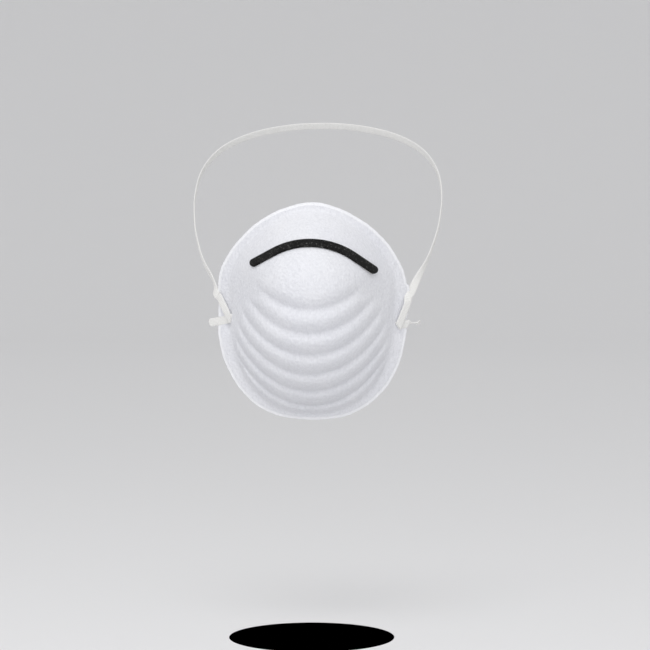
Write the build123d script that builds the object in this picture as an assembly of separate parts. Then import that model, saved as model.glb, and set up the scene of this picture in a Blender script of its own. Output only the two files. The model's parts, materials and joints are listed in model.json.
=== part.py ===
from build123d import *
import os
from math import copysign, cos, degrees, exp, pi, radians, sin, sqrt, tan, tanh

# A moulded disposable dust mask. +Z is up, +X is to the right seen from the front, the front faces -Y and
# the wearer is on the +Y side. The origin is the middle of the sealing rim. All lengths are in millimetres.

# ---- Outline of the mask, seen from the front ----
HALF_WIDTH = 57.5
WIDEST_LEVEL = 10.0
RISE = 55.5  # from the widest level to the top of the flange
DROP = 76.0  # from the widest level to the bottom of the flange
UPPER_POWER = 1.75  # superellipse powers: a pointed top and a full bottom
LOWER_POWER = 2.45

# ---- Flat flange ----
FLANGE_SIDE = 7.75
FLANGE_TOP = 5.0
FLANGE_BOTTOM = 3.2
SIDE_SWEEP = 20.0  # how far the sides bend back round the face
RIM_LEAN = 8.0  # how far the top of the rim stands in front of the middle

# ---- Dome ----
DOME_DEPTH = 40.0
DOME_POWER = 2.3
FOOT_BLEND = 0.06  # rounds the corner between dome and flange
LEVEL_BLEND = 10.0  # height over which the upper outline's shape turns into the lower one's
AXIS_BLEND = 4.0  # rounds the creases that the superellipse would leave on its axes
FLANK_DEPTH = 3.0  # hollows beside the nose
FLANK_X, FLANK_Z = 40.0, 16.0
FLANK_REACH_X, FLANK_REACH_Z = 11.0, 10.0
FLANK_FOOT_SHARE = 0.3  # the hollows fade out towards the dome's foot inside this dome share

# ---- Stiffening ribs: groove k lies at height FIRST_GROOVE - RIB_PITCH * k + PITCH_LOSS * k^2 ----
RIB_HEIGHT = 1.8
RIB_COUNT = 5
FIRST_GROOVE = 2.3
RIB_PITCH = 14.8
PITCH_LOSS = 0.6
RIB_SMILE = 0.013  # the grooves rise by this times x^2 towards the sides
GROOVE_ROUNDING = 0.5
RIB_REACH = 44.5  # half length of the longest ribs
RIB_REACH_LOSS = 14.5  # how much shorter the topmost rib is
RIB_REACH_SPAN = 1.2  # ribs over which that loss dies away
SNOUT_WIDENING = 6.0  # growth of the snout's half width per rib pitch downwards
RIB_END = 5.0  # length over which a rib's blunt end falls away
SNOUT_END = 7.0
SNOUT_TOP = 2.3  # the snout above the first groove fades out at this many pitches
RIB_FOOT_SHARE = 0.15  # the ribs fade out towards the dome's foot inside this dome share

# ---- Plies: thicknesses along Y, because moulding stretches the plies thinner on their steep walls ----
SHELL_THICKNESS = 1.6
WEB_THICKNESS = 0.5
LINING_THICKNESS = 0.5

# ---- Nose strip ----
STRIP_WIDTH = 4.8
STRIP_THICKNESS = 1.0
STRIP_HALF_SPAN = 36.5
STRIP_END_HEIGHT = 27.8
STRIP_APEX_HEIGHT = 48.4  # where the two straight wings would meet
STRIP_BEND_RADIUS = 43.0
STRIP_SHIFT = -0.2  # the strip is glued a little askew: turned about the origin in degrees, then shifted
STRIP_TURN = -3.0
GLUE_THICKNESS = 0.12
GLUE_INSET = 0.4

# ---- Headband ----
BAND_WIDTH = 5.0
BAND_THICKNESS = 0.9
BAND_TILT = 36.0  # degrees that the worn loop rises from the mask to the crown of the head
PIVOT_X, PIVOT_Z = 58.0, 9.0  # where the band crosses the rim
TAIL_INNER, TAIL_TIP = (48.5, -5.5), (64.8, -7.6)
STRAP_FOLD = (50.0, -6.5)
# Routes in the loop's tilted plane: across, and back from the pivots. The arms are mirrored.
ARM_ROUTE = [(59.9, 3.5), (63.6, 14), (69.9, 35), (75.0, 57), (78.3, 76), (79.9, 97)]
BACK_ROUTE = [(79.92, 97.3), (80.4, 116), (77, 140), (67.5, 162), (50, 178.5), (26, 188.5), (0, 191.5)]
ARC_SHARE = 0.45  # how much of the shorter run each corner's arc may use

# ---- Sampling of the moulded surfaces ----
GRID_STEP = 2.0
SLOPE_STEP = 0.5
SHELL_FIT = dict(tol=0.4, min_deg=3, max_deg=5)
PATCH_FIT = dict(tol=0.1, min_deg=3, max_deg=5)
NOSE_PATCH = ((-44.0, 44.0), (20.0, 52.0))  # X and Z ranges that the nose strip lies in
SIDE_PATCH = ((44.0, 70.0), (-16.0, 18.0))  # and that a headband end lies in
PRISM_HALF_DEPTH = 75.0
TURN_STEPS = 60  # round half of the outline
RADIAL_STEPS = 34
TIP_SHARE = 0.06  # the snout's tip is flat inside this share of the outline
TIP_BLEND = 0.2
CONTACT_GAP = 0.15  # between the shell and what is glued or welded on it


def blend_step(value):
    """Rises smoothly from 0 below 0 to 1 above 1."""
    t = min(max(value, 0.0), 1.0)
    return t * t * (3 - 2 * t)


def outline_ratio(x, z, half_width, rise, drop):
    """0 in the middle of a mask-shaped outline and 1 on it."""
    upper = 0.5 * (1 + tanh((z - WIDEST_LEVEL) / LEVEL_BLEND))
    height = drop + (rise - drop) * upper
    power = LOWER_POWER + (UPPER_POWER - LOWER_POWER) * upper

    def soft_power(distance):
        return (distance**2 + AXIS_BLEND**2) ** (power / 2) - AXIS_BLEND**power

    across = soft_power(x) / half_width**power
    along = soft_power(z - WIDEST_LEVEL) / height**power
    return max(across + along, 1e-9) ** (1 / power)


def rim_depth(x, z):
    """The flange's own surface, bent back round the face at its sides."""
    return SIDE_SWEEP * (x / HALF_WIDTH) ** 2 - RIM_LEAN * z / (WIDEST_LEVEL + RISE)


def dome_share(x, z):
    """How far inside the dome a point is: 1 in the middle, 0 on its foot and negative on the flange."""
    ratio = outline_ratio(x, z, HALF_WIDTH - FLANGE_SIDE, RISE - FLANGE_TOP, DROP - FLANGE_BOTTOM)
    return 1 - ratio**DOME_POWER


def rib_number(x, z):
    """Counts the grooves downwards, with 0 on the first groove and halves on the crests."""
    level = z - RIB_SMILE * x**2
    inside_root = max(RIB_PITCH**2 - 4 * PITCH_LOSS * (FIRST_GROOVE - level), 1.0)
    return (RIB_PITCH - sqrt(inside_root)) / (2 * PITCH_LOSS)


def rib_relief(x, z):
    """Height of the snout and ribs over the plain dome."""
    number = rib_number(x, z)
    if -0.5 < number < RIB_COUNT + 0.5:
        low, high = sqrt(GROOVE_ROUNDING), sqrt(1 + GROOVE_ROUNDING)
        crest = (sqrt(sin(pi * number) ** 2 + GROOVE_ROUNDING) - low) / (high - low)
    else:
        crest = 1.0
    if number > 0.5:
        reach = RIB_REACH - RIB_REACH_LOSS * exp(-(number - 0.5) / RIB_REACH_SPAN)
    else:
        reach = RIB_REACH - RIB_REACH_LOSS + SNOUT_WIDENING * (number - 0.5)
    end = SNOUT_END + (RIB_END - SNOUT_END) * blend_step(number + 0.5)
    within_reach = 0.5 * (1 - tanh((abs(x) - reach) / end))
    below_snout_top = 1 - blend_step((-number - 0.5) / (SNOUT_TOP - 0.5))
    above_foot = blend_step(dome_share(x, z) / RIB_FOOT_SHARE)
    return RIB_HEIGHT * crest * within_reach * below_snout_top * above_foot


def plain_depth(x, z):
    """Y of the flange and the dome without their ribs, snout and hollows."""
    share = dome_share(x, z)
    return rim_depth(x, z) - DOME_DEPTH * 0.5 * (share + sqrt(share**2 + FOOT_BLEND**2))


def front_depth(x, z):
    """Y of the shell's front surface at a place seen from the front."""
    aside = ((abs(x) - FLANK_X) / FLANK_REACH_X) ** 2 + ((z - FLANK_Z) / FLANK_REACH_Z) ** 2
    hollow = FLANK_DEPTH * exp(-aside) * blend_step(dome_share(x, z) / FLANK_FOOT_SHARE)
    return plain_depth(x, z) + hollow - rib_relief(x, z)


def raised_depth(x, z, lift):
    """Y of the surface that stands lift in front of the shell's front, measured square to the dome."""
    slope_x = (plain_depth(x + SLOPE_STEP, z) - plain_depth(x - SLOPE_STEP, z)) / (2 * SLOPE_STEP)
    slope_z = (plain_depth(x, z + SLOPE_STEP) - plain_depth(x, z - SLOPE_STEP)) / (2 * SLOPE_STEP)
    return front_depth(x, z) - lift * sqrt(1 + slope_x**2 + slope_z**2)


def moulded_patch(lift, x_range, z_range):
    """A rectangular patch of the shell's front surface, moved out by lift."""

    def marks(low, high):
        steps = round((high - low) / GRID_STEP)
        return [low + (high - low) * i / steps for i in range(steps + 1)]

    rows = [[(x, raised_depth(x, z, lift), z) for z in marks(*z_range)] for x in marks(*x_range)]
    return Face.make_surface_from_array_of_points(rows, **PATCH_FIT)


def slices(prism, surfaces):
    """Cuts a prism along Y by surfaces from front to back, and gives the slices between them."""
    found = []
    for surface in surfaces:
        front, prism = sorted(prism.split(surface, keep=Keep.ALL), key=lambda piece: piece.center().Y)
        found.append(front)
    return found[1:]


def prism_along_y(flat):
    """Extrudes a flat drawing, made with X across and Y up, right through the mask."""
    return extrude(Plane.XZ * flat, amount=PRISM_HALF_DEPTH, both=True)


def outline_point(turn):
    """A point on the mask's outline at an angle from its widest level."""
    height, power = (RISE, UPPER_POWER) if sin(turn) > 0 else (DROP, LOWER_POWER)
    across = HALF_WIDTH * max(cos(turn), 0.0) ** (2 / power)
    along = height * copysign(abs(sin(turn)) ** (2 / power), sin(turn))
    return across, along


def moulded_half():
    """The right half of the shell's front: one ring of dome and flange round the flat tip of the snout."""
    tip_depth = front_depth(0, WIDEST_LEVEL)
    rows = []
    for i in range(TURN_STEPS + 1):
        turn = pi * (i / TURN_STEPS - 0.5)
        across, along = outline_point(turn)
        if i in (0, TURN_STEPS):
            across = 0.0
        row = []
        for j in range(RADIAL_STEPS + 1):
            share = TIP_SHARE + (1 - TIP_SHARE) * j / RADIAL_STEPS
            x, z = share * across, WIDEST_LEVEL + share * along
            beyond_tip = blend_step((share - TIP_SHARE) / (TIP_BLEND - TIP_SHARE))
            row.append((x, tip_depth + beyond_tip * (front_depth(x, z) - tip_depth), z))
        rows.append(row)
    return Face.make_surface_from_array_of_points(rows, **SHELL_FIT)


def edge_nearest(face, share):
    """The ring's edge that runs at one share of the outline: the tip's edge or the rim."""
    target = Vector(share * HALF_WIDTH, 0, WIDEST_LEVEL)

    def miss(edge):
        middle = edge @ 0.5
        return abs(middle.X - target.X) + abs(middle.Z - target.Z)

    return min(face.edges(), key=miss)


def ply(front_ring, back_ring):
    """A closed skin between two moulded surfaces, made of its right half and the mirror image of it."""
    right = [front_ring, back_ring]
    right.append(Face.make_surface_from_curves(edge_nearest(front_ring, 1), edge_nearest(back_ring, 1)))
    for ring in (front_ring, back_ring):
        tip_edge = edge_nearest(ring, TIP_SHARE)
        right.append(make_face([tip_edge, Line(tip_edge @ 0, tip_edge @ 1)]).face())
    left = [mirror(face, about=Plane.YZ).face() for face in right]
    return Solid(Shell(right + left))


def strip_outline(half_width):
    """The nose strip seen from the front: two straight wings, a bend over the nose and round ends."""
    end = STRIP_HALF_SPAN
    wings = FilletPolyline(
        (-end, STRIP_END_HEIGHT), (0, STRIP_APEX_HEIGHT), (end, STRIP_END_HEIGHT), radius=STRIP_BEND_RADIUS
    )
    outline = make_face(Wire(wings.edges()).offset_2d(half_width).edges())
    return Pos(STRIP_SHIFT, 0) * Rot(0, 0, STRIP_TURN) * outline


def flat_strip(start, end):
    """A straight length of the band, seen from the front."""
    return trace(Line(start, end), line_width=BAND_WIDTH)


def corner_radii(route):
    """The largest arc that each inner corner of a route has room for."""
    points = [Vector(*point) for point in route]
    radii = []
    for before, corner, after in zip(points, points[1:], points[2:]):
        turn = radians((corner - before).get_angle(after - corner))
        shorter_run = min((corner - before).length, (after - corner).length)
        radii.append(ARC_SHARE * shorter_run / tan(turn / 2))
    return radii


def band_length(name, route, loop_plane):
    """A flat ribbon that stands on edge across the loop's plane, along straight runs and tangent arcs."""
    radii = corner_radii(route)
    path = FilletPolyline(*route, radius=radii)
    ribbon = extrude(loop_plane * trace(path, line_width=BAND_THICKNESS), amount=BAND_WIDTH / 2, both=True)
    expected = BAND_WIDTH * BAND_THICKNESS * path.length
    print(name, "radii", [round(radius) for radius in radii])
    print(name, f"length {path.length:.1f}, volume {ribbon.volume:.1f}, section x length {expected:.1f}")
    return ribbon


def headband_end(side, flange, over_tail, over_strap):
    """One welded end: a tail across the flange with its tip outwards, and the strap folded back over it."""

    def mirrored(point):
        return side * point[0], point[1]

    tail = slices(prism_along_y(flat_strip(mirrored(TAIL_INNER), mirrored(TAIL_TIP))), [over_tail, flange])
    strap_line = flat_strip(mirrored(STRAP_FOLD), mirrored((PIVOT_X, PIVOT_Z)))
    strap = slices(prism_along_y(strap_line), [over_strap, over_tail])
    return tail[0] + strap[0]


os.makedirs("parts", exist_ok=True)
parts = {}

# The three plies share their touching faces and are sealed together at the rim.
ring = moulded_half()
depths = [0, SHELL_THICKNESS, SHELL_THICKNESS + WEB_THICKNESS]
depths.append(depths[-1] + LINING_THICKNESS)
rings = [Pos(0, depth, 0) * ring for depth in depths]
for name, front_ring, back_ring in zip(("outer_shell", "filter_web", "inner_lining"), rings, rings[1:]):
    parts[name] = ply(front_ring, back_ring)

# The nose strip lies on its adhesive, a little inside the strip's edge.
glue_lifts = [CONTACT_GAP, CONTACT_GAP + GLUE_THICKNESS, CONTACT_GAP + GLUE_THICKNESS + STRIP_THICKNESS]
under_glue, over_glue, over_strip = [moulded_patch(lift, *NOSE_PATCH) for lift in glue_lifts]
strip_prism = prism_along_y(strip_outline(STRIP_WIDTH / 2))
glue_prism = prism_along_y(strip_outline(STRIP_WIDTH / 2 - GLUE_INSET))
parts["nose_clip"] = slices(strip_prism, [over_strip, over_glue])[0]
parts["nose_clip_adhesive"] = slices(glue_prism, [over_glue, under_glue])[0]

# The headband: two welded ends, two arms up past the cheeks and the length round the back of the head.
band_lifts = [CONTACT_GAP + BAND_THICKNESS * layers for layers in (0, 1, 2)]
right_patches = [moulded_patch(lift, *SIDE_PATCH) for lift in band_lifts]
left_patches = [mirror(patch, about=Plane.YZ).face() for patch in right_patches]
parts["headband_end_left"] = headband_end(-1, *left_patches)
parts["headband_end_right"] = headband_end(1, *right_patches)

pivot_y = raised_depth(PIVOT_X, PIVOT_Z, 1.5 * BAND_THICKNESS)
tilt = radians(BAND_TILT)
loop_plane = Plane(origin=(0, pivot_y, PIVOT_Z), x_dir=(1, 0, 0), z_dir=(0, -sin(tilt), cos(tilt)))
for side, name in ((-1, "left"), (1, "right")):
    route = [(side * across, back) for across, back in ARM_ROUTE]
    parts["headband_arm_" + name] = band_length("headband_arm_" + name, route, loop_plane)
mirrored_back = [(-across, back) for across, back in reversed(BACK_ROUTE[:-1])]
parts["headband_back"] = band_length("headband_back", BACK_ROUTE + mirrored_back, loop_plane)

print("pivot", PIVOT_X, round(pivot_y, 2), PIVOT_Z, "tilt", degrees(tilt))
for name, solid in parts.items():
    print(name, "volume", round(solid.volume, 1), "valid", solid.is_valid)
    export_step(solid, f"parts/{name}.step")
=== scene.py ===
import json
from math import cos, pi, radians, sin
import bpy
import numpy as np
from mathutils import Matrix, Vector


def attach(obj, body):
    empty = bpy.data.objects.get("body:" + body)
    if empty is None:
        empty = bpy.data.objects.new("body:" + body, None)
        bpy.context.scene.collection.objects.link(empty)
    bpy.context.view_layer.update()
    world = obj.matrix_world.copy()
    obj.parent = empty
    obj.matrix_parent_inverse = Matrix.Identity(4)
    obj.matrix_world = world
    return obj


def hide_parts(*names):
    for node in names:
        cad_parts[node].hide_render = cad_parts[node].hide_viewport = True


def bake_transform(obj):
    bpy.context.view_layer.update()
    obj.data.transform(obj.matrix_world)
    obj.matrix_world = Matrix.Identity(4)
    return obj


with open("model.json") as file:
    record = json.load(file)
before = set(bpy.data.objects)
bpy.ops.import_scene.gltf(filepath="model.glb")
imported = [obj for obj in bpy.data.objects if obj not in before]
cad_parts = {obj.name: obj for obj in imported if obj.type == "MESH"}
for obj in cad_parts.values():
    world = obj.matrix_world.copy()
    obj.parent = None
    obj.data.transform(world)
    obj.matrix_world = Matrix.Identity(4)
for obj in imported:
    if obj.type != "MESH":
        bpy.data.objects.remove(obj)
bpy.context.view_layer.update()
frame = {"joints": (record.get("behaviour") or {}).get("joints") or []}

# A moulded disposable dust mask, worn: the front faces -Y, the wearer is towards +Y and +Z is up.
# Shapes are worked out in millimetres, seen from the front (X across, Z up), and made in metres.
MM = 0.001
LEFT, RIGHT = -1, 1  # seen from the front

# ------------------------------------------------------------------ camera
CAMERA_AZIMUTH = radians(2.0)
CAMERA_ELEVATION = radians(2.0)
CAMERA_DISTANCE = 1.30
CAMERA_LENS = 120.0
CAMERA_TARGET = np.array([0.0082, -0.005, -0.0080])


def make_camera():
    data = bpy.data.cameras.new("camera")
    data.lens = CAMERA_LENS
    camera = bpy.data.objects.new("camera", data)
    bpy.context.scene.collection.objects.link(camera)
    level = cos(CAMERA_ELEVATION)
    way = np.array([sin(CAMERA_AZIMUTH) * level, -cos(CAMERA_AZIMUTH) * level, sin(CAMERA_ELEVATION)])
    camera.location = CAMERA_TARGET + CAMERA_DISTANCE * way
    camera.rotation_euler = (pi / 2 - CAMERA_ELEVATION, 0, CAMERA_AZIMUTH)
    bpy.context.scene.camera = camera


make_camera()

# ------------------------------------------------------------------ shape of the moulded shell
HALF_WIDTH, WIDEST_LEVEL, RISE, DROP = 57.5, 10.0, 55.5, 76.0
UPPER_POWER, LOWER_POWER = 1.75, 2.45  # of the outline above and below its widest level
FLANGE_SIDE, FLANGE_TOP, FLANGE_BOTTOM = 7.75, 5.0, 3.2
SIDE_SWEEP, RIM_LEAN = 20.0, 8.0  # how far back the rim's sides and its foot lie
DOME_DEPTH, DOME_POWER, FOOT_BLEND = 40.0, 2.3, 0.06
LEVEL_BLEND, AXIS_BLEND = 10.0, 4.0
RIB_HEIGHT, RIB_COUNT, FIRST_GROOVE = 2.5, 5, 2.3
RIB_PITCH, PITCH_LOSS = 14.8, 0.6  # from the first groove to the next, and what each further one loses
RIB_SMILE, RIB_CURL = 0.0128, 1.3e-6  # how the ribs' ends rise, with the square and the fourth power of X
GROOVE_ROUNDING = 0.07
GROOVE_SHADE_BREADTH, GROOVE_SHADE_SHORTER, GROOVE_SHADE_FADE = 0.17, 2.0, 3.0  # of the painted shade along the grooves' bottoms
RIB_REACH, RIB_REACH_LOSS, RIB_REACH_SPAN, RIB_END = 45.0, 14.0, 1.2, 1.5
SNOUT_END, SNOUT_TOP, SNOUT_WIDENING = 7.0, 2.3, 6.0
RIB_FOOT_SHARE, FLANK_FOOT_SHARE = 0.12, 0.3  # of the dome, where the ribs and the flanks' hollows fade
MOTTLE_WAVES, MOTTLE_SHORTEST, MOTTLE_LONGEST, MOTTLE_HEIGHT = 40, 2.2, 7.0, 0.055
SWELL_HEIGHT, SWELL_X, SWELL_Z = 0.25, 17.0, 21.0  # the slow unevenness of a mask that has been handled
PLY_DEPTH = 2.6  # all three plies together, along Y
PLY_SHARES = (0.0, 0.615, 0.808, 1.0)  # where the plies' faces lie in that depth
SEALED_DEPTH = 1.1  # what is left of it at the pressed rim
PRESSED_BAND = 1.5
PRESSED_STEP = 0.38


def blend_step(value):
    """Rises smoothly from 0 below 0 to 1 above 1."""
    t = np.clip(value, 0.0, 1.0)
    return t * t * (3 - 2 * t)


def bump_at(x, z, centre, reach):
    """1 at a centre, falling to nothing over a reach across and up."""
    return np.exp(-(((x - centre[0]) / reach[0]) ** 2) - ((z - centre[1]) / reach[1]) ** 2)


def outline_ratio(x, z, half_width, rise, drop):
    """0 in the middle of a mask-shaped outline and 1 on it."""
    upper = 0.5 * (1 + np.tanh((z - WIDEST_LEVEL) / LEVEL_BLEND))
    height = drop + (rise - drop) * upper
    power = LOWER_POWER + (UPPER_POWER - LOWER_POWER) * upper

    def soft_power(distance):
        return (distance**2 + AXIS_BLEND**2) ** (power / 2) - AXIS_BLEND**power

    total = soft_power(x) / half_width**power + soft_power(z - WIDEST_LEVEL) / height**power
    return np.maximum(total, 1e-9) ** (1 / power)


def rim_depth(x, z):
    return SIDE_SWEEP * (x / HALF_WIDTH) ** 2 - RIM_LEAN * z / (WIDEST_LEVEL + RISE)


def dome_share(x, z):
    """1 in the middle of the dome, 0 on its foot and negative on the flange."""
    ratio = outline_ratio(x, z, HALF_WIDTH - FLANGE_SIDE, RISE - FLANGE_TOP, DROP - FLANGE_BOTTOM)
    return 1 - ratio**DOME_POWER


def plain_depth(x, z):
    """Y of the flange and the dome without ribs, snout and hollows."""
    share = dome_share(x, z)
    return rim_depth(x, z) - DOME_DEPTH * 0.5 * (share + np.sqrt(share**2 + FOOT_BLEND**2))


def rib_number(x, z):
    """Counts the grooves downwards, with 0 on the first groove and halves on the crests."""
    level = z - RIB_SMILE * x**2 - RIB_CURL * x**4
    inside_root = np.maximum(RIB_PITCH**2 - 4 * PITCH_LOSS * (FIRST_GROOVE - level), 1.0)
    return (RIB_PITCH - np.sqrt(inside_root)) / (2 * PITCH_LOSS)


def rib_reach(number):
    """How far across the ribs go: less near the first groove than further down."""
    return RIB_REACH - RIB_REACH_LOSS * np.exp(-np.maximum(number, 0) / RIB_REACH_SPAN)


def rib_relief(x, z):
    """Height of the snout and the ribs over the plain dome."""
    number = rib_number(x, z)
    low, high = np.sqrt(GROOVE_ROUNDING), np.sqrt(1 + GROOVE_ROUNDING)
    wave = (np.sqrt(np.sin(pi * number) ** 2 + GROOVE_ROUNDING) - low) / (high - low)
    crest = np.where((number > -0.5) & (number < RIB_COUNT + 0.5), wave, 1.0)
    reach_below = rib_reach(number - 0.5)
    reach_above = RIB_REACH - RIB_REACH_LOSS + SNOUT_WIDENING * (number - 0.5)
    reach = np.where(number > 0.5, reach_below, reach_above)
    end = SNOUT_END + (RIB_END - SNOUT_END) * blend_step(number + 0.5)
    within_reach = 0.5 * (1 - np.tanh((np.abs(x) - reach) / end))
    below_snout_top = 1 - blend_step((-number - 0.5) / (SNOUT_TOP - 0.5))
    on_dome = blend_step(dome_share(x, z) / RIB_FOOT_SHARE)
    return RIB_HEIGHT * crest * within_reach * below_snout_top * on_dome


def groove_shade_share(x, z):
    """1 along the bottoms of the pressed grooves between ribs, and 0 elsewhere: how much painted shade
    darkens the felt there.
    """
    number = rib_number(x, z)
    away = np.abs(number - np.clip(np.round(number), 0, RIB_COUNT))
    within = 0.5 * (1 - np.tanh((np.abs(x) - rib_reach(number) + GROOVE_SHADE_SHORTER) / GROOVE_SHADE_FADE))
    on_dome = blend_step(dome_share(x, z) / RIB_FOOT_SHARE)
    return np.exp(-((away / GROOVE_SHADE_BREADTH) ** 2)) * within * on_dome


WAVES = np.random.default_rng(11)
MOTTLE_DIRECTIONS = WAVES.uniform(0, 2 * pi, MOTTLE_WAVES)
MOTTLE_LENGTHS = WAVES.uniform(MOTTLE_SHORTEST, MOTTLE_LONGEST, MOTTLE_WAVES)
MOTTLE_PHASES = WAVES.uniform(0, 2 * pi, MOTTLE_WAVES)


def mottle(x, z):
    """Unevenness of the felt: a sum of waves in all directions, about 1 high."""
    total = 0.0
    for turn, length, phase in zip(MOTTLE_DIRECTIONS, MOTTLE_LENGTHS, MOTTLE_PHASES):
        total = total + np.sin(2 * pi * (x * cos(turn) + z * sin(turn)) / length + phase)
    return total / np.sqrt(MOTTLE_WAVES / 2)


# Dents in the shell's front: how deep each one is, its centre (X, Z) and its reach across and up.
FLANK_HOLLOW = (3.0, (40.0, 16.0), (11.0, 10.0))  # on both sides
CREASES = [(0.22, (-8.0, 52.0), (0.7, 6.0)), (0.22, (4.5, 51.0), (0.8, 6.0))]  # at the top, over the nose
PINCHES = [(1.5, (-50.2, -9.3), (1.7, 3.2)), (0.8, (51.0, -12.4), (1.2, 1.6))]  # beside the welds


def dent(x, z, facts):
    deep, centre, reach = facts
    return deep * bump_at(x, z, centre, reach)


def front_depth(x, z):
    """Y of the felt shell's front."""
    hollows = dent(np.abs(x), z, FLANK_HOLLOW) * blend_step(dome_share(x, z) / FLANK_FOOT_SHARE)
    creases = sum(dent(x, z, facts) for facts in CREASES)
    pinches = sum(dent(x, z, facts) for facts in PINCHES)
    swell = SWELL_HEIGHT * np.sin(x / SWELL_X + 1.0) * np.sin(z / SWELL_Z + 0.5)
    uneven = MOTTLE_HEIGHT * mottle(x, z) + swell
    return plain_depth(x, z) + hollows + creases + pinches - rib_relief(x, z) + uneven


def surface_normal(depth, x, z, step=0.3):
    """Unit normal towards the front of a surface given by its depth, from slopes over a short step."""
    slope_x = (depth(x + step, z) - depth(x - step, z)) / (2 * step)
    slope_z = (depth(x, z + step) - depth(x, z - step)) / (2 * step)
    normal = np.stack([slope_x, -np.ones_like(slope_x), slope_z], axis=-1)
    return normal / np.linalg.norm(normal, axis=-1, keepdims=True)


# ------------------------------------------------------------------ mesh helpers
def mesh_object(name, points, faces, attributes=None):
    """A smooth mesh piece from points in millimetres."""
    mesh = bpy.data.meshes.new(name)
    mesh.from_pydata((np.asarray(points) * MM).tolist(), [], faces)
    for key, values in (attributes or {}).items():
        layer = mesh.attributes.new(key, "FLOAT", "POINT")
        layer.data.foreach_set("value", np.asarray(values, dtype=np.float32))
    mesh.polygons.foreach_set("use_smooth", [True] * len(mesh.polygons))
    mesh.update()
    piece = bpy.data.objects.new(name, mesh)
    bpy.context.scene.collection.objects.link(piece)
    return piece


def grid_faces(rows, columns, start=0, flip=False):
    """Quads of a grid of points stored row by row, where each row closes round."""
    row = np.arange(rows - 1)[:, None] * columns
    place = np.arange(columns)[None, :]
    after = (place + 1) % columns
    corners = [row + place, row + after, row + columns + after, row + columns + place]
    quads = np.stack(corners, axis=-1).reshape(-1, 4) + start
    return (quads[:, ::-1] if flip else quads).tolist()


def end_caps(rings, around):
    """The two end faces of a tube whose points are stored ring by ring."""
    last = (rings - 1) * around
    return [list(range(around))[::-1], list(range(last, last + around))]


# ------------------------------------------------------------------ the three plies
TURNS = 460
RINGS = 165
RIM_RINGS = 16  # closer together than the others
TAB_HEIGHT, TAB_TOP, TAB_BOTTOM = 1.1, 16.5, -6.0  # the rim's flat bulge beside the right weld
LEFT_SWELL_HEIGHT, LEFT_SWELL_LEVEL, LEFT_SWELL_REACH = 0.7, 1.0, 4.5  # its bulge beside the left one
DIE_WOBBLE = [(0.12, 9, 1.0), (0.08, 23, 0.0), (0.05, 61, 2.0)]  # height, waves in a turn and phase
BAND_LEVEL, BAND_PULL_REACH = 5.0, 15.0
SPREAD_SHARE, SPREAD_TO_LEFT = 0.033, 0.000212
ROUNDING_DEPTH, ROUNDING_REACH = 0.18, 0.15  # of the cut edge
SEAL_REACH = 4.0  # how far in from the rim the plies are thinned
MIDDLE_FROM_RIM = 60.0


def outline_points(turns):
    """The mask's outline round its widest level, with the small unevenness of a die-cut rim."""
    upper = np.sin(turns) > 0
    height, power = np.where(upper, RISE, DROP), np.where(upper, UPPER_POWER, LOWER_POWER)
    across = HALF_WIDTH * np.sign(np.cos(turns)) * np.abs(np.cos(turns)) ** (2 / power)
    along = height * np.sign(np.sin(turns)) * np.abs(np.sin(turns)) ** (2 / power)
    z = along + WIDEST_LEVEL
    tab = TAB_HEIGHT * blend_step((TAB_TOP - z) / 1.2) * blend_step((z - TAB_BOTTOM) / 8.0) * (across > 0)
    left_swell = np.exp(-(((z - LEFT_SWELL_LEVEL) / LEFT_SWELL_REACH) ** 2)) * (across < 0)
    wobble = sum(height * np.sin(waves * turns + phase) for height, waves, phase in DIE_WOBBLE)
    grow = 1 + (tab + LEFT_SWELL_HEIGHT * left_swell + wobble) / np.hypot(across, along)
    return across * grow, along * grow


def ply_points():
    """X and Z of the plies' points, ring by ring outwards, and their distance from the rim."""
    turns = np.linspace(0, 2 * pi, TURNS, endpoint=False)
    across, along = outline_points(turns)
    shares = np.concatenate([np.linspace(0.006, 0.955, RINGS), np.linspace(0.96, 1.0, RIM_RINGS)])
    x = shares[:, None] * across[None, :]
    z = WIDEST_LEVEL + shares[:, None] * along[None, :]
    from_rim = (1 - shares[:, None]) * np.hypot(across, along)[None, :]
    return x, z, from_rim


def spread(x, z):
    """X on the worn mask: its sides stand out a little except where the band pulls them in."""
    away_from_band = 1 - np.exp(-(((z - BAND_LEVEL) / BAND_PULL_REACH) ** 2))
    return x + away_from_band * (SPREAD_SHARE * x - SPREAD_TO_LEFT * x**2)


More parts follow.
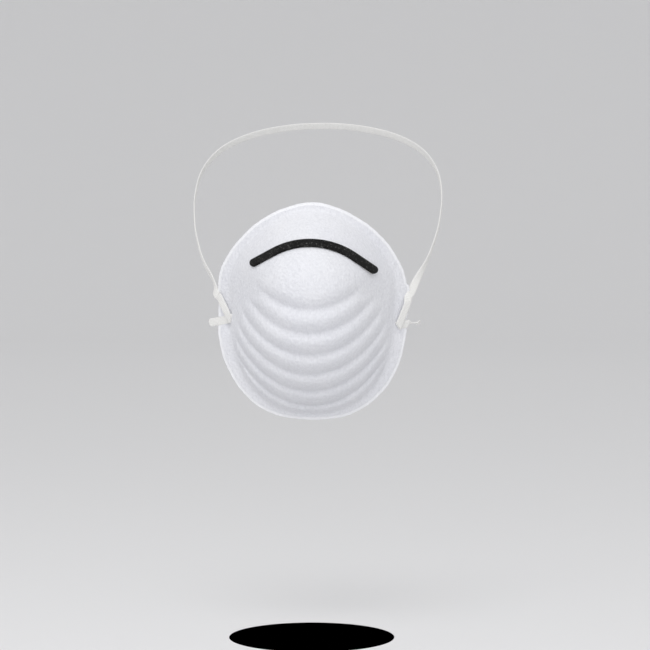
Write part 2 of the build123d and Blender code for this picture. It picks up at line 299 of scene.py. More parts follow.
def make_ply(name, front_share, back_share):
    """One ply: its front, its back, the cut edge between them and a small fan in the middle of each."""
    x, z, from_rim = ply_points()
    pressed = 1 - blend_step((from_rim - 0.75 * PRESSED_BAND) / (0.5 * PRESSED_BAND))
    depth = PLY_DEPTH + (SEALED_DEPTH - PLY_DEPTH) * (1 - blend_step(from_rim / SEAL_REACH))
    front = front_depth(x, z) + PRESSED_STEP * pressed
    rounding = ROUNDING_DEPTH * np.exp(-from_rim / ROUNDING_REACH)
    y_front = front + depth * front_share + (rounding if front_share == 0 else 0)
    y_back = front + depth * back_share - (rounding if back_share == 1 else 0)
    rings, turns = x.shape
    faces = grid_faces(rings, turns, flip=True) + grid_faces(rings, turns, start=rings * turns)
    one_side = rings * turns
    rim = (rings - 1) * turns + np.arange(turns)
    next_rim = np.roll(rim, -1)
    faces += np.stack([rim, next_rim, next_rim + one_side, rim + one_side], axis=-1).tolist()
    inner = np.arange(turns)
    next_inner = np.roll(inner, -1)
    middle_front = np.full(turns, 2 * one_side)
    faces += np.stack([inner, next_inner, middle_front], axis=-1).tolist()
    faces += np.stack([next_inner + one_side, inner + one_side, middle_front + 1], axis=-1).tolist()
    points = [np.stack([spread(x, z), y, z], axis=-1).reshape(-1, 3) for y in (y_front, y_back)]
    points.append([[0, y_front[0].mean(), WIDEST_LEVEL], [0, y_back[0].mean(), WIDEST_LEVEL]])
    near_rim = np.append(np.tile(from_rim.ravel(), 2), [MIDDLE_FROM_RIM] * 2)
    # the groove attribute carries how much painted shade darkens each point's colour
    groove = np.append(np.tile(groove_shade_share(x, z).ravel(), 2), [0.0] * 2)
    return mesh_object(name, np.concatenate(points), faces, {"from_rim": near_rim, "groove": groove})


# ------------------------------------------------------------------ the nose strip
STRIP_HALF_SPAN, STRIP_END_HEIGHT, STRIP_APEX_HEIGHT, STRIP_BEND_RADIUS = 36.35, 25.9, 48.0, 43.0
STRIP_SHIFT, STRIP_TURN = 0.3, radians(-3.5)  # it is glued on a little askew
STRIP_FOLLOW = 0.92  # how closely its section follows the shell across its width, from 0, flat, to 1
STRIP_EDGE_SHARE = 0.35  # of its thickness, left at the very tips


def strip_line(steps):
    """Points along the strip's middle, evenly spaced: two straight wings joined by an arc over the nose."""
    slope = np.arctan2(STRIP_APEX_HEIGHT - STRIP_END_HEIGHT, STRIP_HALF_SPAN)
    arc_x = STRIP_BEND_RADIUS * np.sin(slope)
    arc_centre = STRIP_APEX_HEIGHT - STRIP_BEND_RADIUS / np.cos(slope)
    x = np.linspace(-STRIP_HALF_SPAN, STRIP_HALF_SPAN, 4001)
    on_arc = arc_centre + np.sqrt(np.maximum(STRIP_BEND_RADIUS**2 - x**2, 1.0))
    z = np.where(np.abs(x) < arc_x, on_arc, STRIP_APEX_HEIGHT - np.abs(x) * np.tan(slope))
    length = np.concatenate([[0], np.cumsum(np.hypot(np.diff(x), np.diff(z)))])
    even = np.linspace(0, length[-1], steps)
    x, z = np.interp(even, length, x), np.interp(even, length, z)
    askew_x = STRIP_SHIFT + x * cos(STRIP_TURN) - z * sin(STRIP_TURN)
    return askew_x, x * sin(STRIP_TURN) + z * cos(STRIP_TURN), even


def make_strip(name, half_width, lift, thickness, roundness):
    """A flat strip with a rounded section and round ends, lying on the shell."""
    steps, around = ((360, 40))
    x, z, along = strip_line(steps)
    extra = np.linspace(0, 1, 14)[:-1]  # the round ends need closer rings than the wings
    ends = half_width * (1 - np.cos(extra * pi / 2))
    wings = along[(along > half_width) & (along < along[-1] - half_width)]
    spots = np.concatenate([ends, wings, along[-1] - ends[::-1]])
    x, z = np.interp(spots, along, x), np.interp(spots, along, z)
    from_end = np.minimum(spots, along[-1] - spots)
    width = np.sqrt(np.maximum(half_width**2 - np.maximum(half_width - from_end, 0) ** 2, 0.02))
    direction = np.stack([np.gradient(x, spots), np.gradient(z, spots)], axis=-1)
    direction /= np.linalg.norm(direction, axis=-1, keepdims=True)
    across = np.stack([-direction[:, 1], direction[:, 0]], axis=-1)
    turn = np.linspace(0, 2 * pi, around, endpoint=False)
    side = np.sign(np.cos(turn)) * np.abs(np.cos(turn)) ** roundness
    up = np.sign(np.sin(turn)) * np.abs(np.sin(turn)) ** roundness
    place_x = x[:, None] + across[:, None, 0] * side * width[:, None]
    place_z = z[:, None] + across[:, None, 1] * side * width[:, None]
    fullness = np.sqrt(np.clip(width / half_width, 0, 1))
    thick_here = thickness * (STRIP_EDGE_SHARE + (1 - STRIP_EDGE_SHARE) * fullness)
    height = lift + thickness * 0.5 + 0.5 * thick_here[:, None] * up[None, :]
    base = plain_depth(place_x, place_z) - rib_relief(place_x, place_z)
    on_middle = (plain_depth(x, z) - rib_relief(x, z))[:, None]
    bed = STRIP_FOLLOW * base + (1 - STRIP_FOLLOW) * on_middle
    normal = surface_normal(plain_depth, place_x, place_z)
    points = np.stack([spread(place_x, place_z), bed, place_z], axis=-1) + height[..., None] * normal
    faces = grid_faces(len(spots), around) + end_caps(len(spots), around)
    return mesh_object(name, points.reshape(-1, 3), faces)


# ------------------------------------------------------------------ the elastic headband
BAND_HALF_WIDTH, BAND_HALF_THICKNESS = 2.5, 0.42
BAND_TILT = radians(36.0)
PIVOT_X, PIVOT_Z = 58.0, 9.0
ARM_ROUTE = [(59.9, 3.5), (63.6, 14), (69.9, 35), (75.0, 57), (78.3, 76), (79.9, 97)]
BACK_ROUTE = [(79.92, 97.3), (80.4, 116), (77, 140), (67.5, 162), (50, 178.5), (26, 188.5), (0, 191.5)]
SWING_BLEND = 14.0  # the length of arm that bends when the loop swings
STRETCH_FROM, STRETCH_TO = 97.3, 187.0  # how far back the loop starts and stops stretching
LOOP_NORMAL = np.array([0.0, -sin(BAND_TILT), cos(BAND_TILT)])
PIVOT_Y = next(j for j in frame["joints"] if j["name"] == "headband_swing")["pos_m"][1] / MM
WEAVE_ACROSS, WEAVE_ALONG = 0.83, 0.9  # millimetres between the knit's cells
WEAVE_DEPTH = 0.06
EDGE_POWER, EDGE_SCALLOP = 5, 0.02  # how square the band's edges are, and how much they wave
WELD_LOSS = 0.45  # of the thickness, where the band is pressed
FOLD_HEIGHT = 0.55  # of the lower layer's middle over the flange
FOLD_RADIUS = 0.52
FOLD_REACH = 6.0  # how far from the fold the band's rings turn to lie along it
BED_LEVEL = 15.0  # past it, up or down, the strap's direction stops following the flange
WELD_EDGE, WELD_EDGE_FADE = 58.4, 1.5
TWIST_START, TWIST_SPAN = 57.2, 3.4  # where the loose tail's tip turns over, outside the rim
UNTWIST_SHARE, UNTWIST_START, UNTWIST_SPAN = 0.55, 62.6, 2.2
TAIL_FREE_FROM, TWIST_NARROWING = 57.5, 0.42
TIP_LENGTH, TIP_LOSS = 1.4, 1.3  # the tail's rounded end
FUSED_SHARE, FUSED_LENGTH, FUSED_FADE = 0.25, 5.0, 3.0  # the knit is melted smooth near the tip
WELD_WEAVE = 0.6  # how much deeper the weld's print is than the knit
RING_STEP = 0.225


def strip_depth(x, z):
    """Y of the flange, carried on straight outside the rim."""
    inside_x = np.clip(x, -HALF_WIDTH, HALF_WIDTH)
    slope = 2 * SIDE_SWEEP / HALF_WIDTH
    return plain_depth(inside_x, z) + slope * (np.abs(x) - np.abs(inside_x))


def over_flange(x, z, height):
    """A point at a height over the flange."""
    x, z = np.asarray(x, float), np.asarray(z, float)
    base = np.stack([x, strip_depth(x, z), z], axis=-1)
    return base + np.asarray(height)[..., None] * surface_normal(strip_depth, x, z)


def in_loop_plane(across, back):
    """A point of the loop's tilted plane."""
    return np.array([across, PIVOT_Y + back * cos(BAND_TILT), PIVOT_Z + back * sin(BAND_TILT)])


def spline_points(name, control):
    """Points in millimetres along the smooth NURBS line that a list of control points gives."""
    curve = bpy.data.curves.new(name, "CURVE")
    curve.dimensions = "3D"
    curve.resolution_u = 24
    spline = curve.splines.new("NURBS")
    spline.points.add(len(control) - 1)
    for point, place in zip(spline.points, control):
        point.co = (*(np.asarray(place) * MM), 1.0)
    spline.order_u = 3
    spline.use_endpoint_u = True
    holder = bpy.data.objects.new(name, curve)
    line = bpy.data.meshes.new_from_object(holder)
    places = np.array([tuple(v.co) for v in line.vertices]) / MM
    bpy.data.meshes.remove(line)
    bpy.data.objects.remove(holder)
    bpy.data.curves.remove(curve)
    return places


def evenly(places, step):
    """The same line with points evenly spaced, and how far along it each one lies."""
    length = np.concatenate([[0], np.cumsum(np.linalg.norm(np.diff(places, axis=0), axis=1))])
    spots = np.linspace(0, length[-1], max(int(round(length[-1] / step)), 4) + 1)
    return np.stack([np.interp(spots, length, places[:, k]) for k in range(3)], axis=-1), spots


def unit(vectors):
    """The same directions, one long."""
    return vectors / np.maximum(np.linalg.norm(vectors, axis=-1, keepdims=True), 1e-9)


def square_to(vectors, tangent):
    """The vectors turned square to a line's tangents."""
    return unit(vectors - np.sum(vectors * tangent, axis=1, keepdims=True) * tangent)


def smooth_tangents(places, reach=3):
    """A line's directions, each one the mean of its neighbours within reach."""
    tangent = unit(np.gradient(places, axis=0))
    kernel = np.ones(2 * reach + 1) / (2 * reach + 1)
    padded = np.pad(tangent, ((reach, reach), (0, 0)), mode="edge")
    return unit(np.stack([np.convolve(padded[:, k], kernel, "valid") for k in range(3)], axis=-1))


def make_ribbon(name, places, across, normal, spots, half_width=None, flatness=None, weave_scale=None):
    """A closed knitted ribbon. across and normal are each ring's directions; the surface carries a
    lattice of knit cells, deeper where weave_scale is larger, and is pressed thin where flatness is
    near 1. Without them the band has its full width and thickness and an even knit."""
    half_width = np.full(len(spots), BAND_HALF_WIDTH) if half_width is None else half_width
    flatness = np.zeros(len(spots)) if flatness is None else flatness
    weave_scale = np.ones(len(spots)) if weave_scale is None else weave_scale
    samples = 31
    share = np.sin(np.linspace(-pi / 2, pi / 2, samples))
    top, bottom = share, share[-2:0:-1]
    side = np.concatenate([top, bottom])
    sign = np.concatenate([np.ones(len(top)), -np.ones(len(bottom))])
    edge = np.sqrt(np.maximum(1 - np.abs(side) ** EDGE_POWER, 0))
    thickness = BAND_HALF_THICKNESS * (1 - WELD_LOSS * flatness)
    place_across = side[None, :] * BAND_HALF_WIDTH
    spin = pi * place_across / WEAVE_ACROSS
    slide = pi * spots[:, None] / WEAVE_ALONG
    lattice = np.cos(spin + slide) * np.cos(spin - slide)
    weave = WEAVE_DEPTH * weave_scale[:, None] * lattice * edge[None, :]
    height = sign[None, :] * (thickness[:, None] * edge[None, :] + weave)
    scallop = 1 + EDGE_SCALLOP * np.cos(2 * pi * spots / WEAVE_ALONG) * weave_scale
    reach = (half_width * scallop)[:, None] * side[None, :]
    points = places[:, None, :] + reach[..., None] * across[:, None, :]
    points = points + height[..., None] * normal[:, None, :]
    faces = grid_faces(*reach.shape) + end_caps(*reach.shape)
    ribbon = mesh_object(name, points.reshape(-1, 3), faces, {"knit": (0.5 + 0.5 * lattice).ravel()})
    ribbon.data.validate()
    return ribbon


# Where each side's tail and strap lie over the flange, seen from the front: X is mirrored on the left.
# The strap turns from flat on the flange to flat on the cheek between twist_from and twist_to, counted
# along it from the pivot. arm_start takes the place of the arm's second point, and tip_twist turns the
# tail's tip over, in degrees.
SIDES = {
    LEFT: dict(
        name="left",
        tail=[(63.6, -7.7), (56.4, -6.6), (49.3, -4.6)],
        strap=[(49.3, -4.6), (52.9, 1.8), (56.3, 8.6)],
        twist_from=-6.0,
        twist_to=16.0,
        arm_start=(60.9, 14),
        tip_twist=0.0,
    ),
    RIGHT: dict(
        name="right",
        tail=[(65.0, -7.4), (57.4, -7.7), (51.6, -8.9)],
        strap=[(51.6, -8.9), (54.0, -2.6), (57.0, 4.4)],
        twist_from=-2.0,
        twist_to=46.0,
        arm_start=(62.6, 14),
        tip_twist=80.0,
    ),
}


def strap_line(side, facts):
    """The strap's line from its fold, over the rim at the pivot and up the arm, how far along it each
    point lies from the pivot, and the pivot's index."""
    flange = [over_flange(side * x, z, FOLD_HEIGHT + 2 * FOLD_RADIUS) for x, z in facts["strap"]]
    route = [facts["arm_start"] if point == ARM_ROUTE[1] else point for point in ARM_ROUTE]
    arm = [in_loop_plane(side * across, back) for across, back in [(PIVOT_X + 0.1, 0.0)] + route]
    places, spots = evenly(spline_points("strap_" + facts["name"], flange + arm), RING_STEP)
    nearest = int(np.argmin(np.linalg.norm(places - arm[0], axis=1)))
    return places, spots - spots[nearest], nearest


def strap_bed(x, z):
    """Near the rim the strap lies like the flange at the pivot, and stays so up the arm."""
    return strip_depth(np.clip(x, -PIVOT_X, PIVOT_X), np.clip(z, -BED_LEVEL, BED_LEVEL))


def strap_frames(places, spots, facts):
    """Directions across and square to the strap: flat on the flange first, flat along the cheek later."""
    tangent = smooth_tangents(places)
    on_flange = surface_normal(strap_bed, places[:, 0], places[:, 2])
    flange_across = unit(np.cross(on_flange, tangent))
    loop_across = LOOP_NORMAL[None, :] * np.sign((flange_across @ LOOP_NORMAL)[:1, None])
    mix = blend_step((spots - facts["twist_from"]) / (facts["twist_to"] - facts["twist_from"]))[:, None]
    across = square_to((1 - mix) * flange_across + mix * loop_across, tangent)
    return across, unit(np.cross(tangent, across))


def sheared(across, fold_line, from_fold):
    """Turns the rings near the fold to lie along it, and says how much longer that makes each one."""
    amount = blend_step(1 - from_fold / FOLD_REACH)
    line = fold_line * np.sign(across @ fold_line)[:, None]
    mixed = unit((1 - amount)[:, None] * across + amount[:, None] * line)
    return mixed, 1 / np.maximum(np.sum(mixed * across, axis=1), 0.3)


def tip_twist(tail, facts):
    """How far each ring of the tail is turned over, in radians."""
    out = np.abs(tail[:, 0])
    twist = radians(facts["tip_twist"]) * blend_step((out - TWIST_START) / TWIST_SPAN)
    return twist * (1 - UNTWIST_SHARE * blend_step((out - UNTWIST_START) / UNTWIST_SPAN))


def tail_half_width(tail, spots, stretch, twist):
    """The tail's half width: round at the tip, and narrower where the loose part is turned over."""
    tip_round = np.clip(spots / TIP_LENGTH, 0, 1)
    width = BAND_HALF_WIDTH * stretch - TIP_LOSS + TIP_LOSS * np.sqrt(1 - (1 - tip_round) ** 2)
    turned = width * (1 - TWIST_NARROWING * np.sin(twist) ** 2)
    return np.where(np.abs(tail[:, 0]) > TAIL_FREE_FROM, turned, width)


def make_end(side, facts, strap_places, strap_spots, strap_across, strap_normal):
    """The welded end as one ribbon: tail, pressed weld on the flange, fold and strap up to the rim."""
    tail_line = spline_points("tail", [over_flange(side * x, z, FOLD_HEIGHT) for x, z in facts["tail"]])
    tail, tail_spots = evenly(tail_line, RING_STEP)
    tail_tangent = smooth_tangents(tail)
    tail_up = surface_normal(strip_depth, tail[:, 0], tail[:, 2])
    tail_across = unit(np.cross(tail_up, tail_tangent))
    up = tail_up[-1]

    fold_line = unit(tail_tangent[-1] + unit(strap_places[3] - strap_places[0]))
    fold_line = unit(fold_line - (fold_line @ up) * up)
    inward = np.cross(fold_line, up)
    inward = inward * np.sign(inward @ tail_tangent[-1])
    fold_turns = np.linspace(0, pi, 11)[1:-1]
    fold_sin, fold_cos = np.sin(fold_turns)[:, None], np.cos(fold_turns)[:, None]
    fold_places = tail[-1] + FOLD_RADIUS * (fold_sin * inward + (1 - fold_cos) * up)
    fold_normals = -fold_sin * inward + fold_cos * up

    tail_lines, tail_stretch = sheared(tail_across, fold_line, tail_spots[-1] - tail_spots)
    from_fold = strap_spots - strap_spots[0]
    strap_flip = np.sign((strap_across[0] @ fold_line) * np.sign(tail_lines[-1] @ fold_line))
    strap_lines, strap_stretch = sheared(strap_across * strap_flip, fold_line, from_fold)
    strap_down = strap_normal * -np.sign(strap_normal[0] @ up)  # the band's top face looks down here

    twist = tip_twist(tail, facts)
    twist_sin, twist_cos = np.sin(twist)[:, None], np.cos(twist)[:, None]
    tail_normals = twist_cos * tail_up + twist_sin * tail_lines
    tail_lines = twist_cos * tail_lines - twist_sin * tail_up
    tail_width = tail_half_width(tail, tail_spots, tail_stretch, twist)
    welded = blend_step((WELD_EDGE - np.abs(tail[:, 0])) / WELD_EDGE_FADE)
    fused = FUSED_SHARE + (1 - FUSED_SHARE) * blend_step((tail_spots - FUSED_LENGTH) / FUSED_FADE)

    folds, past_tail = len(fold_turns), len(fold_turns) + len(strap_places)
    at_fold = tail_spots[-1] + FOLD_RADIUS * fold_turns
    after_fold = tail_spots[-1] + FOLD_RADIUS * pi + from_fold
    return make_ribbon(
        "band_end_" + facts["name"],
        np.concatenate([tail, fold_places, strap_places]),
        np.concatenate([tail_lines, np.repeat(tail_lines[-1:], folds, axis=0), strap_lines]),
        np.concatenate([tail_normals, fold_normals, strap_down]),
        np.concatenate([tail_spots, at_fold, after_fold]),
        np.concatenate([tail_width, np.full(folds, tail_width[-1]), BAND_HALF_WIDTH * strap_stretch]),
        np.concatenate([welded, np.zeros(past_tail)]),
        np.concatenate([fused * (1 + WELD_WEAVE * welded), np.ones(past_tail)]),
    )


# ------------------------------------------------------------------ build the pieces
PLY_GAP = 0.006  # a share of the depth left free on each side of the middle ply
shell_piece = make_ply("felt_shell", PLY_SHARES[0], PLY_SHARES[1])
web_piece = make_ply("filter_ply", PLY_SHARES[1] + PLY_GAP, PLY_SHARES[2] - PLY_GAP)
lining_piece = make_ply("soft_lining", PLY_SHARES[2], PLY_SHARES[3])
strip_piece = make_strip("nose_strip", half_width=2.32, lift=0.16, thickness=1.0, roundness=0.45)
glue_piece = make_strip("nose_strip_glue", half_width=2.0, lift=-0.05, thickness=0.2, roundness=0.6)

band_pieces = {}
for side, facts in SIDES.items():
    places, spots, pivot = strap_line(side, facts)
    across, normal = strap_frames(places, spots, facts)
    to_pivot, arm = slice(0, pivot + 1), slice(pivot, None)
    band_pieces["end_" + facts["name"]] = make_end(
        side, facts, places[to_pivot], spots[to_pivot], across[to_pivot], normal[to_pivot]
    )
    piece = make_ribbon("band_arm_" + facts["name"], places[arm], across[arm], normal[arm], spots[arm])
    band_pieces["arm_" + facts["name"]] = piece
    facts["seam_across"] = across[-1]

back_control = [in_loop_plane(-across, back) for across, back in BACK_ROUTE]
back_control += [in_loop_plane(across, back) for across, back in reversed(BACK_ROUTE[:-1])]
back_places, back_spots = evenly(spline_points("back", back_control), RING_STEP)
back_tangent = smooth_tangents(back_places)
back_across = square_to(SIDES[LEFT]["seam_across"][None, :], back_tangent)
back_normal = unit(np.cross(back_tangent, back_across))
band_pieces["back"] = make_ribbon("band_back", back_places, back_across, back_normal, back_spots)


# ------------------------------------------------------------------ materials
def new_material(name, colour, roughness, sheen=0.0):
    """A material with plain values on its shader, its node tree and that shader."""
    material = bpy.data.materials.new(name)
    material.use_nodes = True
    shader = material.node_tree.nodes["Principled BSDF"]
    shader.inputs["Base Color"].default_value = (*colour, 1)
    shader.inputs["Roughness"].default_value = roughness
    shader.inputs["Sheen Weight"].default_value = sheen
    shader.inputs["Sheen Roughness"].default_value = 0.6
    return material, material.node_tree, shader


def place_node(tree, kind, settings=None, inputs=None, links=None):
    """A node with its settings, plain input values and links from other nodes' outputs."""
    node = tree.nodes.new(kind)
    for key, value in (settings or {}).items():
        setattr(node, key, value)
    for key, value in (inputs or {}).items():
        node.inputs[key].default_value = value
    for key, source in (links or {}).items():
        tree.links.new(source, node.inputs[key])
    return node


def noise_node(tree, where, scale, detail=2.0, rough=0.5, distortion=0.0):
    inputs = {"Scale": scale, "Detail": detail, "Roughness": rough, "Distortion": distortion}
    return place_node(tree, "ShaderNodeTexNoise", inputs=inputs, links={"Vector": where})


def object_place(tree):
    return place_node(tree, "ShaderNodeTexCoord").outputs["Object"]


def attribute_value(tree, name):
    return place_node(tree, "ShaderNodeAttribute", {"attribute_name": name}).outputs["Fac"]


def rough_between(tree, shader, factor, lowest, highest):
    """Roughness that follows a factor between two values."""
    node = place_node(tree, "ShaderNodeMapRange", inputs={"To Min": lowest, "To Max": highest},
                      links={"Value": factor})
    tree.links.new(node.outputs["Result"], shader.inputs["Roughness"])


def ramp_node(tree, factor, stops):
    """A colour ramp from (position, colour) stops."""
    node = place_node(tree, "ShaderNodeValToRGB", links={"Fac": factor})
    elements = node.color_ramp.elements
    while len(elements) < len(stops):
        elements.new(0.5)
    for element, (position, colour) in zip(elements, stops):
        element.position = position
        element.color = (*colour, 1)
    return node


def mix_colour(tree, factor, first, second, mode="MIX"):
    """Two colours mixed; each value is a plain one or another node's output."""
    node = place_node(tree, "ShaderNodeMix", {"data_type": "RGBA", "blend_type": mode})
    for key, value in (("Factor", factor), ("A", first), ("B", second)):
        socket = next(s for s in node.inputs if s.name == key and s.enabled)
        if isinstance(value, bpy.types.NodeSocket):
            tree.links.new(value, socket)
        else:
            socket.default_value = value
    return next(s for s in node.outputs if s.enabled)


def bump_chain(tree, shader, layers):
    """Bumps stacked on each other: (height output, strength, distance in metres)."""
    previous = None
    for height, strength, distance in layers:
        node = place_node(tree, "ShaderNodeBump", inputs={"Strength": strength, "Distance": distance},
                          links={"Height": height})
        if previous is not None:
            tree.links.new(previous.outputs["Normal"], node.inputs["Normal"])
        previous = node
    tree.links.new(previous.outputs["Normal"], shader.inputs["Normal"])


def fibre_height(tree, where, scale):
    """Crossing stretched noises that look like loose matted fibres."""
    total = None
    for turn in (0.2, 1.25, 2.3):
        mapping = place_node(tree, "ShaderNodeMapping",
                             inputs={"Rotation": (0.3 * turn, turn, 0.2), "Scale": (1.0, 1.0, 0.16)},
                             links={"Vector": where})
        noise = noise_node(tree, mapping.outputs["Vector"], scale, 3.0, 0.6, 0.6)
        if total is None:
            total = noise.outputs["Fac"]
        else:
            total = place_node(tree, "ShaderNodeMath", {"operation": "MAXIMUM"},
                               links={0: total, 1: noise.outputs["Fac"]}).outputs[0]
    return total


def felt_material(name, high, low, fine_scale, clump_scale, bump):
    """Matted nonwoven: clumps and thin spots in the colour, crossing fibres in the bump, a painted
    highlight along the rim and painted shade in the grooves.
    """
    material, tree, shader = new_material(name, high, 0.92, sheen=0.12)
    where = object_place(tree)
    clumps = noise_node(tree, where, clump_scale, 3.0, 0.55)
    drift = noise_node(tree, where, 38.0, 2.0, 0.5)
    fibres = fibre_height(tree, where, fine_scale)
    clump_colour = ramp_node(tree, clumps.outputs["Fac"], [(0.3, low), (0.68, high)])
    fibre_colour = ramp_node(tree, fibres, [(0.4, (0.91, 0.91, 0.915)), (0.75, (1, 1, 1))])
    drift_colour = ramp_node(tree, drift.outputs["Fac"], [(0.35, (0.97, 0.972, 0.98)), (0.65, (1, 1, 1))])
    fibred = mix_colour(tree, 1.0, clump_colour.outputs["Color"], fibre_colour.outputs["Color"], "MULTIPLY")
    colour = mix_colour(tree, 1.0, fibred, drift_colour.outputs["Color"], "MULTIPLY")
    # painted highlight: the colour is lightened in a thin line along the rim's edge
    rim = attribute_value(tree, "from_rim")
    rim_highlight = place_node(tree, "ShaderNodeMapRange",
                        inputs={"From Min": 1.3, "From Max": 1.9, "To Min": 1.0, "To Max": 0.0},
                        links={"Value": rim}).outputs["Result"]
    colour = mix_colour(tree, rim_highlight, colour, (high[0] * 1.04, high[1] * 1.04, high[2] * 1.03, 1))
    # painted shade: the felt's colour is darkened along the grooves' bottoms, where shade falls between the
    # ribs
    groove = attribute_value(tree, "groove")
    painted_groove_shade = place_node(tree, "ShaderNodeMath", {"operation": "MULTIPLY"}, {1: 0.55}, {0: groove}).outputs[0]
    groove_shade_colour = mix_colour(tree, 1.0, colour, (0.86, 0.86, 0.865, 1), "MULTIPLY")
    colour = mix_colour(tree, painted_groove_shade, colour, groove_shade_colour)
    tree.links.new(colour, shader.inputs["Base Color"])
    rough_between(tree, shader, clumps.outputs["Fac"], 0.82, 1.0)
    bump_chain(tree, shader, [(clumps.outputs["Fac"], 0.5 * bump, 0.0012), (fibres, 0.6 * bump, 0.0005)])
    return material


def strip_material():
    """Black coated aluminium with a fine embossed grain and a few pale specks."""
    material, tree, shader = new_material("black_coated_strip", (0.008, 0.008, 0.008), 0.42)
    shader.inputs["Specular IOR Level"].default_value = 0.08
    where = object_place(tree)
    grain = place_node(tree, "ShaderNodeTexVoronoi", inputs={"Scale": 1500.0}, links={"Vector": where})
    specks = noise_node(tree, where, 900.0, 4.0, 0.7)
    worn = noise_node(tree, where, 130.0, 3.0, 0.6)
    shades = [(0.35, (0.004, 0.004, 0.004)), (0.7, (0.012, 0.012, 0.012))]
    base = ramp_node(tree, worn.outputs["Fac"], shades)
    pale_specks = ramp_node(tree, specks.outputs["Fac"], [(0.57, (0, 0, 0)), (0.66, (1, 1, 1))])
    colour = mix_colour(tree, pale_specks.outputs["Color"], base.outputs["Color"], (0.11, 0.11, 0.105, 1))
    tree.links.new(colour, shader.inputs["Base Color"])
    rough_between(tree, shader, worn.outputs["Fac"], 0.34, 0.62)
    layers = [(grain.outputs["Distance"], 0.35, 0.0003), (worn.outputs["Fac"], 0.2, 0.0004)]
    bump_chain(tree, shader, layers)
    return material


def glue_material():
    """Yellowish hot-melt film with a soft uneven gloss."""
    material, tree, shader = new_material("hot_melt_film", (0.78, 0.72, 0.52), 0.35)
    where = object_place(tree)
    flow = noise_node(tree, where, 300.0, 2.0)
    colour = ramp_node(tree, flow.outputs["Fac"], [(0.3, (0.70, 0.64, 0.45)), (0.7, (0.84, 0.80, 0.64))])
    tree.links.new(colour.outputs["Color"], shader.inputs["Base Color"])
    bump_chain(tree, shader, [(flow.outputs["Fac"], 0.4, 0.0004)])
    return material


def elastic_material():
    """Creamy knitted elastic: pale raised cells, painted shade in the gaps between them and loose textile
    fuzz.
    """
    material, tree, shader = new_material("knitted_elastic", (0.86, 0.85, 0.80), 0.85, sheen=0.15)
    where = object_place(tree)
    # painted shade: the knit's recessed gaps are coloured darker than its raised cells
    shades = [(0.05, (0.66, 0.655, 0.64)), (0.4, (0.82, 0.815, 0.80)), (0.9, (0.88, 0.878, 0.868))]
    cells = ramp_node(tree, attribute_value(tree, "knit"), shades)
    yarn = noise_node(tree, where, 2600.0, 3.0, 0.6)
    yarn_colour = ramp_node(tree, yarn.outputs["Fac"], [(0.35, (0.88, 0.88, 0.87)), (0.65, (1, 1, 1))])
    colour = mix_colour(tree, 1.0, cells.outputs["Color"], yarn_colour.outputs["Color"], "MULTIPLY")
    tree.links.new(colour, shader.inputs["Base Color"])
    rough_between(tree, shader, yarn.outputs["Fac"], 0.75, 0.98)
    bump_chain(tree, shader, [(yarn.outputs["Fac"], 0.4, 0.0002)])
    return material


def give(piece, material, slot_name, body, *nodes):
    """A piece's material and the nodes it stands for, which are hidden; with a body's name the piece rides
    on that body, and with a blend instead its placement is baked into its mesh and the blend is not used.
    """
    piece.data.materials.append(material)
    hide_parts(*nodes)
    if isinstance(body, str):
        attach(piece, body)
    else:
        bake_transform(piece)


shell_felt = felt_material("moulded_felt", high=(0.825, 0.83, 0.865), low=(0.76, 0.765, 0.80),
                           fine_scale=900.0, clump_scale=620.0, bump=1.0)
web_felt = felt_material("filter_felt", high=(0.84, 0.85, 0.86), low=(0.78, 0.79, 0.80),
                         fine_scale=1100.0, clump_scale=500.0, bump=0.6)
lining_felt = felt_material("lining_felt", high=(0.83, 0.84, 0.86), low=(0.77, 0.785, 0.80),
                            fine_scale=1200.0, clump_scale=420.0, bump=0.6)
elastic = elastic_material()

give(shell_piece, shell_felt, "shell_felt", "shell", "outer_shell")
give(web_piece, web_felt, "filter_web", "shell", "filter_web")
give(lining_piece, lining_felt, "lining", "shell", "inner_lining")
give(strip_piece, strip_material(), "nose_strip", "shell", "nose_clip")
give(glue_piece, glue_material(), "adhesive", "shell", "nose_clip_adhesive")

for side, facts in SIDES.items():
    name = facts["name"]
    give(band_pieces["end_" + name], elastic, "elastic", "shell", "headband_end_" + name)
    swing_start = in_loop_plane(side * PIVOT_X, 0.0) * MM
    swing_end = in_loop_plane(side * PIVOT_X, SWING_BLEND) * MM
    give(band_pieces["arm_" + name], elastic, "elastic",
         ("shell", "headband_arms", tuple(swing_start), tuple(swing_end)), "headband_arm_" + name)
stretch_start, stretch_end = in_loop_plane(0, STRETCH_FROM) * MM, in_loop_plane(0, STRETCH_TO) * MM
give(band_pieces["back"], elastic, "elastic",
     ("headband_arms", "headband_back", tuple(stretch_start), tuple(stretch_end)), "headband_back")


# ------------------------------------------------------------------ floor, world and lights
FLOOR_LEVEL = -0.197
FLOOR_RADIUS, SWEEP_RADIUS = 4.0, 2.5  # the flat floor, and the curve that carries it up into a wall
MIDDLE_RADIUS = 0.05  # of the one face in the floor's middle


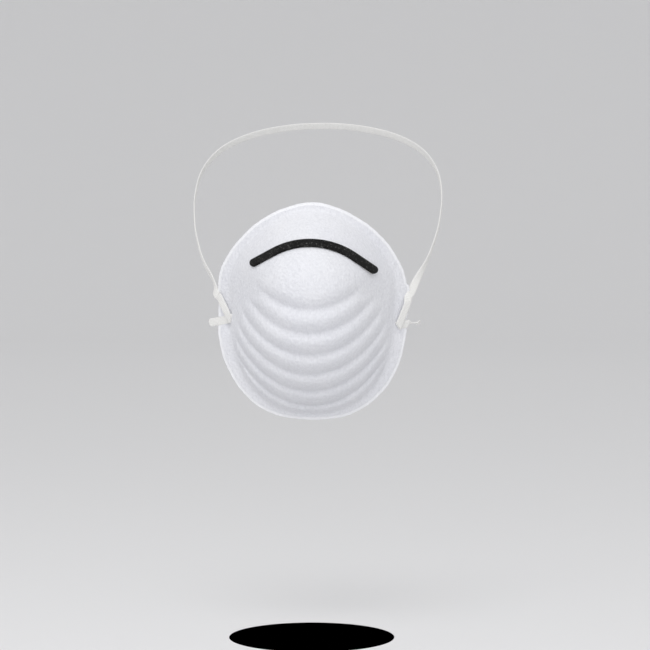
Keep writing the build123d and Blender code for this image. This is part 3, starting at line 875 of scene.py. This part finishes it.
def make_stage():
    """A pale round studio sweep: a flat floor that curves up into a plain wall all round."""
    around = 96
    rises = np.linspace(0, pi / 2, 25)
    radii = np.concatenate([[MIDDLE_RADIUS], FLOOR_RADIUS + SWEEP_RADIUS * np.sin(rises)])
    heights = FLOOR_LEVEL + np.concatenate([[0.0], SWEEP_RADIUS * (1 - np.cos(rises))])
    turns = np.linspace(0, 2 * pi, around, endpoint=False)
    x, y = radii[:, None] * np.cos(turns), radii[:, None] * np.sin(turns)
    z = np.broadcast_to(heights[:, None], x.shape)
    faces = grid_faces(len(radii), around) + [list(range(around))]
    floor = mesh_object("studio_sweep", np.stack([x, y, z], axis=-1).reshape(-1, 3) / MM, faces)
    material, _, _ = new_material("pale_paper", (0.76, 0.76, 0.77), 0.95)
    floor.data.materials.append(material)


def make_world(strength):
    """Even white studio surroundings."""
    world = bpy.data.worlds.new("studio")
    bpy.context.scene.world = world
    world.use_nodes = True
    background = world.node_tree.nodes["Background"]
    background.inputs["Color"].default_value = (1, 1, 1, 1)
    background.inputs["Strength"].default_value = strength


def make_light(name, kind, place, power):
    """A light at a place that the camera doesn't see, and its data."""
    data = bpy.data.lights.new(name, kind)
    data.energy = power
    light = bpy.data.objects.new(name, data)
    bpy.context.scene.collection.objects.link(light)
    light.visible_camera = False
    light.location = place
    return light, data


def make_softbox(name, place, size, power):
    """A rectangular softbox that faces the origin."""
    light, data = make_light(name, "AREA", place, power)
    data.shape = "RECTANGLE"
    data.size, data.size_y = size
    light.rotation_euler = (-Vector(place)).to_track_quat("-Z", "Y").to_euler()


def make_glow(name, place, radius, power):
    """A glowing ball that fills the shadows below without a hard edge on the floor."""
    _, data = make_light(name, "POINT", place, power)
    data.shadow_soft_size = radius


make_stage()
make_world(0.80)
make_softbox("top_softbox", place=(-0.12, -0.85, 1.05), size=(0.9, 0.7), power=5.5)
make_softbox("front_softbox", place=(-0.2, -1.7, 0.30), size=(0.8, 0.8), power=2.6)
make_glow("low_fill", place=(0.05, -1.3, 0.06), radius=0.24, power=7.0)
bpy.context.scene.view_settings.view_transform = "Standard"
